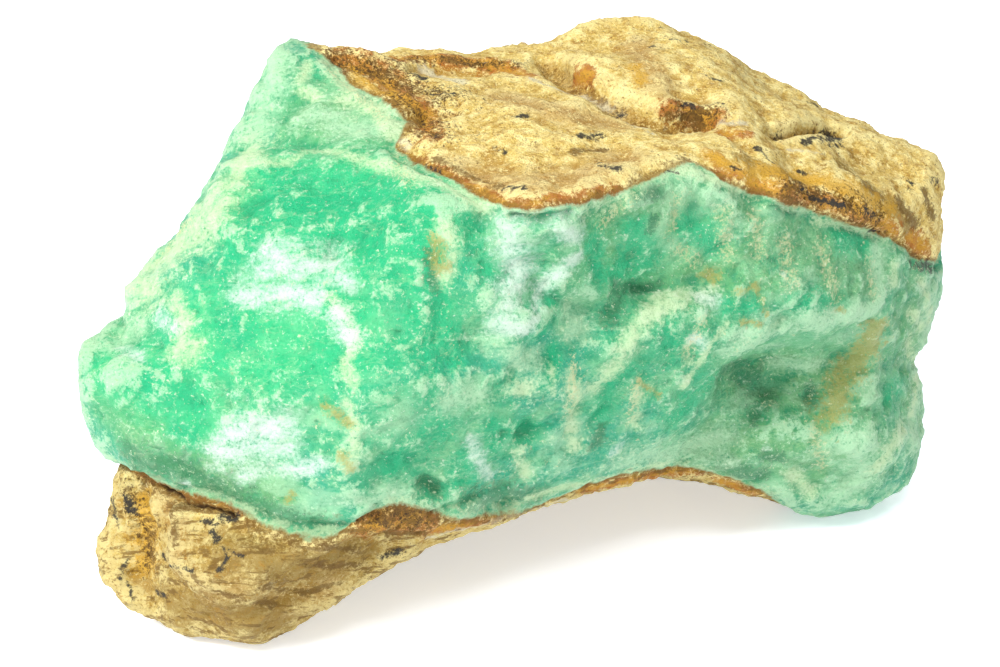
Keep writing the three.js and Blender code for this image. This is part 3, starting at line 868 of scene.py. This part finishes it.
def cutRelief(stone, material):
    cutter = stone.modifiers.new("relief", "NODES")
    cutter.node_group = makeReliefTree()
    values = dict(relief, Material=material)
    for socket in cutter.node_group.interface.items_tree:
        if socket.in_out == "INPUT" and socket.name in values:
            cutter[socket.identifier] = values[socket.name]
    makePlain(stone)
    for point in stone.data.vertices:  # nothing stands out of the frame's own box
        point.co = [min(max(place, low), high) for place, low, high in zip(point.co, *cadBox)]


# Notes how far each point stands out of the skin or lies in it, for the colour of ridges and hollows:
# paler crests, partly wear and partly painted highlight, and darker hollows, painted shade.
def noteRidges(stone):
    height = heightOverEven(stone.data, skin["crestAndHollowBreadth"])
    layer = stone.data.attributes.new("ridge", "FLOAT", "POINT")
    layer.data.foreach_set("value", height.astype(np.float32))
    print("ridges noted:", np.percentile(height, [2, 20, 50, 80, 98]).round(2), "mm")


palette = {
    "green": "#3aa16f",
    "deepGreen": "#1c895e",
    "teal": "#279979",
    "moss": "#6e9a5b",
    "emerald": "#21b472",
    "rich": "#17a36d",
    "mint": "#72b581",
    "pale": "#a3cda2",
    "cream": "#bdd4a4",
    # whitish frost, also the colour of the painted sheen
    "frostAndSheen": "#c7d9c8",
    "bottle": "#2b7048",
    "film": "#99974e",
    "beige": "#c0c08e",
    "ochre": "#ddbf66",
    "straw": "#f8e8a0",
    "tan": "#ad8230",
    "olive": "#8c6e28",
    "dun": "#b48f56",
    "amber": "#d6a634",
    "chalk": "#dcd6b6",
    "brown": "#6c4e1a",
    "rust": "#ab5d14",
    "bark": "#4a3212",
    "soot": "#2f2e2a",
}

# Noise patterns, each with the size of its spots in mm, its detail, its roughness and its stretch.
# The stone's own grain of 0.1 to 0.2 mm is drawn coarser, so that it still shows from a hand's length.
noises = {
    "broad": (16, 6, 0.6, 1),
    "cloud": (3.4, 8, 0.8, 1),
    "blot": (3, 8, 0.8, 1),
    "veil": (5, 4, 0.55, 2),
    "vein": (7, 9, 0.66, 2.5),
    "wisp": (1.7, 8, 0.7, 4),
    "strand": (1.0, 5, 0.65, 9),
    "fleck": (1.6, 6, 0.75, 1),
    "grain": (0.45, 4, 0.8, 1),
    "crystal": (0.9, 2, 0.6, 1),
}
noiseMiddle = 0.5  # a noise pattern's middle value

grain = {
    "coarse": 2.2,  # how far spots or strands break up a mark's edge
    "fine": 1.6,  # how far the grain breaks it up
    "spots": ("rich", "deep", "film", "soot", "olive", "rust", "amber", "seam"),  # marks that fray into spots
    "strands": ("cream", "chalk", "pale", "frostAndSheen", "umber"),  # marks that fray into strands
    "wander": 1.2,  # mm, how far flecks and blots each move the edge between the rocks
    "edge": 0.2,  # mm on each side of that edge over which the rocks' colours meet
    "rim": 0.5,  # how fast the rim along the edge fades, for each mm
    "combing": 0.5,  # mm on each side of the crust's outline over which its streaks set in
}

# Patterns mixed from others: the first, how much of it is added, and what it is added to.
mixes = {
    "dust": ("grain", grain["fine"], -(grain["coarse"] + grain["fine"]) * noiseMiddle),
    "spots": ("fleck", grain["coarse"], "dust"),
    "strands": ("wisp", grain["coarse"], "dust"),
    "wavering": ("fleck", grain["wander"], "inside"),
    "wandering": ("blot", grain["wander"], "wavering"),
    "edge": ("wandering", 1.0, -2 * grain["wander"] * noiseMiddle),  # over 0 inside the rind and the crust
    "swing": ("vein", 1.0, -noiseMiddle),
    "sugar": ("cloud", 0.8, "grain"),
    "clumps": ("blot", 0.9, "grain"),
    "sandy": ("grain", 3.0, "sand"),
    "specked": ("crumble", 0.25, "clumps"),
    "loose": ("crumble", 0.2, "grain"),
    "sparkle": ("crumble", 0.1, "crystal"),
    "jagged": ("spots", 0.5, "ridge"),
    "golden": ("strands", 1.0, "rust"),
    "grit": ("fleck", 1.4, "grain"),
}

# Coats over each rock's colour: a pattern, the levels between which the coat comes in, its most, its tint.
greenCoats = [
    ("broad", 0.46, 0.56, 0.7, "teal"),
    ("moss", 0.0, 0.8, 0.6, "moss"),
    ("cloud", 0.5, 0.38, 0.6, "deepGreen"),
    ("cloud", 0.52, 0.66, 0.5, "mint"),
    ("veil", 0.5, 0.62, 0.7, "mint"),
    ("vein", 0.53, 0.62, 0.5, "pale"),
    ("fleck", 0.54, 0.64, 0.4, "pale"),
    ("fleck", 0.46, 0.38, 0.4, "deepGreen"),
    # painted light, in part: the left face brighter and purer green
    ("emerald", 0.0, 0.7, 0.7, "emerald"),
    ("ragged rich", 0.1, 0.9, 0.9, "rich"),
    # painted shade: hollows darker green
    ("ridge", -0.05, -0.4, 0.6, "deepGreen"),
    # paler crests: partly wear, partly painted highlight
    ("jagged", 0.12, 0.4, 0.8, "pale"),
    # painted shade, in part: bottle green under the lip, in the pocket and the hollow and along the bottom
    # edges
    ("ragged deep", 0.2, 0.8, 0.8, "bottle"),
    ("beside vein", 0.02, 0.0, 0.15, "cream"),
    ("ragged pale", 0.1, 1.1, 0.85, "pale"),
    # painted light, in part: the pale strip along the left edge
    ("ragged cream", 0.2, 1.1, 0.8, "cream"),
    # painted sheen, in part: the whitish patches on the broken green faces
    ("ragged frostAndSheen", 0.1, 1.3, 0.9, "frostAndSheen"),
    ("ragged film", 0.3, 0.9, 0.8, "film"),
    ("sandy", 2.25, 2.6, 0.65, "beige"),
    ("rim", 0.4, 1.0, 0.5, "cream"),
    ("ragged soot", 0.45, 0.8, 0.85, "soot"),
    ("sugar", 0.82, 0.68, 0.45, "deepGreen"),
    ("sugar", 1.0, 1.12, 0.6, "cream"),
    ("grain", 0.42, 0.32, 0.35, "deepGreen"),
    ("grain", 0.6, 0.7, 0.7, "frostAndSheen"),
    ("clumps", 1.12, 1.2, 0.7, "beige"),
]
ochreCoats = [
    ("blot", 0.5, 0.57, 0.9, "straw"),
    ("blot", 0.48, 0.4, 0.9, "tan"),
    ("fleck", 0.53, 0.63, 0.5, "tan"),
    ("fleck", 0.47, 0.39, 0.6, "straw"),
    ("combed wisp", 0.52, 0.62, 0.6, "tan"),
    ("combed wisp", 0.48, 0.4, 0.6, "straw"),
    ("dun", 0.0, 0.9, 0.7, "dun"),
    ("combed strand", 0.54, 0.62, 0.6, "tan"),
    ("combed strand", 0.46, 0.38, 0.7, "straw"),
    # painted shade and highlight, in part: hollows tan and crests straw
    ("ridge", 0.0, -0.35, 0.7, "tan"),
    ("ridge", 0.0, 0.35, 0.6, "straw"),
    ("combed wisp", 0.55, 0.62, 0.7, "brown"),
    ("clumps", 0.86, 0.7, 0.8, "straw"),
    ("grain", 0.54, 0.64, 0.6, "tan"),
    ("grain", 0.44, 0.36, 0.6, "straw"),
    ("sparkle", 0.62, 0.7, 0.8, "straw"),
    # painted shade, in part: the crust grows more olive further inside its outline, and the olive marks
    # darken the boss towards the bottom
    ("crust", 0.0, 2.5, 0.35, "olive"),
    ("ragged olive", 0.1, 0.9, 0.8, "olive"),
    ("ragged rust", 0.2, 0.8, 0.9, "rust"),
    ("golden", 0.5, 1.0, 0.7, "amber"),
    ("ragged umber", 0.25, 0.75, 0.8, "brown"),
    ("ragged amber", 0.15, 0.85, 0.8, "amber"),
    ("ragged chalk", 0.3, 0.9, 0.7, "chalk"),
    ("rim", 0.3, 0.9, 0.7, "brown"),
    ("specked", 1.08, 1.2, 0.8, "brown"),
    ("combed strand", 0.54, 0.61, 0.7, "brown"),
    ("grain", 0.6, 0.7, 0.8, "brown"),
    ("loose", 0.68, 0.76, 0.8, "bark"),
    ("ragged seam", 0.6, 1.1, 0.7, "brown"),
    ("ragged soot", 0.35, 0.8, 0.95, "soot"),
    # painted shade, in part: the crack dark bark as the shade in its gap
    ("crack", 0.4, 0.7, 0.95, "bark"),
]

finish = {  # for the green, and for the rind and the crust
    "roughness": (0.42, 0.85),
    "grit": (0.45, 0.7),  # mm, how high the grain stands
    "ior": 1.54,
    "specular": 0.3,
}


# Makes the patterns that the coats follow, by name.
def makePatterns(tree):
    pattern = {
        name: addNode(tree, "ShaderNodeAttribute", attribute_name=name).outputs["Fac"]
        for name in (*outlines, *marks, "ridge")
    }
    place = addNode(tree, "ShaderNodeTexCoord").outputs["Object"]
    for name, (size, detail, rough, stretch) in noises.items():
        turned = addNode(
            tree,
            "ShaderNodeMapping",
            {
                "Vector": place,
                "Rotation": [math.radians(angle) for angle in groove["turn"]],
                "Scale": (metre / size / stretch, metre / size, metre / size),
            },
        )
        spots = addNode(
            tree,
            "ShaderNodeTexNoise",
            {"Vector": turned.outputs[0], "Scale": 1, "Detail": detail, "Roughness": rough},
        )
        pattern[name] = spots.outputs["Fac"]

    pattern["inside"] = addNode(
        tree, "ShaderNodeMath", {0: pattern["rind"], 1: pattern["crust"]}, operation="MAXIMUM"
    ).outputs[0]
    for name, (first, share, second) in mixes.items():
        pattern[name] = addNode(
            tree,
            "ShaderNodeMath",
            {0: pattern[first], 1: share, 2: pattern.get(second, second)},
            operation="MULTIPLY_ADD",
        ).outputs[0]
    for kind in ("spots", "strands"):
        for name in grain[kind]:
            frayed = addNode(tree, "ShaderNodeMath", {0: pattern[kind], 1: pattern[name]})
            pattern["ragged " + name] = frayed.outputs[0]

    for name, source in [("beside vein", "swing"), ("beside edge", "edge")]:
        pattern[name] = addNode(
            tree, "ShaderNodeMath", {0: pattern[source]}, operation="ABSOLUTE"
        ).outputs[0]
    faded = addNode(
        tree,
        "ShaderNodeMath",
        {0: pattern["beside edge"], 1: -grain["rim"], 2: pattern["spots"]},
        operation="MULTIPLY_ADD",
    )
    pattern["rim"] = addNode(tree, "ShaderNodeMath", {0: faded.outputs[0], 1: 1.0}).outputs[0]

    onCrust = addNode(
        tree,
        "ShaderNodeMapRange",
        {"Value": pattern["crust"], "From Min": -grain["combing"], "From Max": grain["combing"]},
    ).outputs[0]
    for name in ("wisp", "strand"):  # streaks that only the crust has
        pattern["combed " + name] = addNode(
            tree, "ShaderNodeMix", {0: onCrust, 2: noiseMiddle, 3: pattern[name]}, data_type="FLOAT"
        ).outputs[0]
    return pattern


def paint(tree, pattern, base, coats):
    colour = linear(palette[base])
    for name, low, high, most, tint in coats:
        amount = addNode(
            tree,
            "ShaderNodeMapRange",
            {"Value": pattern[name], "From Min": low, "From Max": high, "To Max": most},
            interpolation_type="SMOOTHSTEP",
        )
        coat = addNode(
            tree,
            "ShaderNodeMix",
            {0: amount.outputs[0], 6: colour, 7: linear(palette[tint])},
            data_type="RGBA",
        )
        colour = coat.outputs[2]
    return colour


# Both rocks of the stone. The chalcedony is a clear to milky green, waxy on its broken faces and sugary
# where its grain shows. The limonite rind is dull and earthy, yellow where it is dry and brown in its pits.
# Their colour also holds some painted light: in part the sheen on the whitish patches, the light on the left
# face, its edge strip and the crests, and the shade in hollows, under the lip, in the pocket, in the crack
# and on the lower crust.
def makeStoneMaterial():
    material = bpy.data.materials.new("chalcedonyWithLimoniteRind")
    material.use_nodes = True
    tree = material.node_tree
    tree.nodes.clear()
    pattern = makePatterns(tree)
    green = paint(tree, pattern, "green", greenCoats)
    ochre = paint(tree, pattern, "ochre", ochreCoats)
    rock = addNode(
        tree,
        "ShaderNodeMapRange",
        {"Value": pattern["edge"], "From Min": -grain["edge"], "From Max": grain["edge"]},
    ).outputs[0]
    colour = addNode(tree, "ShaderNodeMix", {0: rock, 6: green, 7: ochre}, data_type="RGBA").outputs[2]
    waxy, earthy = finish["roughness"]
    roughness = addNode(tree, "ShaderNodeMix", {0: rock, 2: waxy, 3: earthy}, data_type="FLOAT").outputs[0]
    low, high = [height / metre for height in finish["grit"]]
    depth = addNode(tree, "ShaderNodeMix", {0: rock, 2: low, 3: high}, data_type="FLOAT").outputs[0]
    bump = addNode(tree, "ShaderNodeBump", {"Height": pattern["grit"], "Strength": 1, "Distance": depth})
    shine = addNode(
        tree,
        "ShaderNodeBsdfPrincipled",
        {
            "Base Color": colour,
            "Roughness": roughness,
            "Normal": bump.outputs["Normal"],
            "IOR": finish["ior"],
            "Specular IOR Level": finish["specular"],
        },
    )
    addNode(tree, "ShaderNodeOutputMaterial", {"Surface": shine.outputs["BSDF"]})
    return material


studio = {
    "card": "#f6f9ff",  # a little blue, against the warm light that the stone throws down
    "radius": 3,  # m, of the round table
    "corners": 64,
    "glow": 0.43,  # the table is lit from below, which keeps its shadows pale
    "sky": 0.68,  # strength of the white surroundings
    "softboxes": [  # place in mm, size in mm, power in watts
        ([-300, -200, 360], 160, 3.2),
        ([40, -200, 460], 200, 1.2),
        ([80, -420, 140], 180, 0.3),
    ],
}


# The table is matte opal acrylic: white all over, without a reflection, and with pale, soft shadows.
def makeStudio():
    table = bpy.data.meshes.new("table")
    shape = bmesh.new()
    bmesh.ops.create_circle(shape, cap_ends=True, segments=studio["corners"], radius=studio["radius"])
    shape.to_mesh(table)
    shape.free()
    floor = bpy.data.objects.new("table", table)
    bpy.context.scene.collection.objects.link(floor)
    acrylic = bpy.data.materials.new("matteOpalAcrylic")
    acrylic.use_nodes = True
    sheet = acrylic.node_tree.nodes["Principled BSDF"].inputs
    sheet["Base Color"].default_value = linear(studio["card"])
    sheet["Roughness"].default_value = 1
    sheet["Emission Color"].default_value = linear(studio["card"])
    sheet["Emission Strength"].default_value = studio["glow"]
    table.materials.append(acrylic)

    world = bpy.data.worlds.new("white")
    world.use_nodes = True
    world.node_tree.nodes["Background"].inputs["Color"].default_value = (1, 1, 1, 1)
    world.node_tree.nodes["Background"].inputs["Strength"].default_value = studio["sky"]
    bpy.context.scene.world = world

    target = Vector(viewpoint["target"]) / metre
    for number, (place, size, power) in enumerate(studio["softboxes"]):
        light = bpy.data.lights.new(f"softbox{number}", "AREA")
        light.shape = "DISK"
        light.size = size / metre
        light.energy = power
        lamp = bpy.data.objects.new(f"softbox{number}", light)
        bpy.context.scene.collection.objects.link(lamp)
        lamp.location = Vector(place) / metre
        lamp.rotation_euler = (target - lamp.location).to_track_quat("-Z", "Y").to_euler()
    bpy.context.scene.view_settings.view_transform = "Standard"


def makeCamera():
    eye, target, _, _ = viewAxes()
    lens = bpy.data.cameras.new("camera")
    lens.lens = viewpoint["lens"]
    lens.sensor_width = viewpoint["sensor"]
    lens.clip_start, lens.clip_end = viewpoint["clip"]
    camera = bpy.data.objects.new("camera", lens)
    bpy.context.scene.collection.objects.link(camera)
    camera.location = Vector(eye / metre)
    camera.rotation_euler = Vector(target - eye).to_track_quat("-Z", "Y").to_euler()
    bpy.context.scene.camera = camera


stone = makeSkin(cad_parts["chrysoprase"])
print("skin:", sum(len(face.vertices) - 2 for face in stone.data.polygons), "triangles")
markSkin(stone)
print("marks laid on")
cutRelief(stone, makeStoneMaterial())
for face in stone.data.polygons:
    face.use_smooth = True
print("relief cut")
noteRidges(stone)
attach(stone, "root")
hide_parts("chrysoprase")
makeStudio()
makeCamera()
print("studio ready")
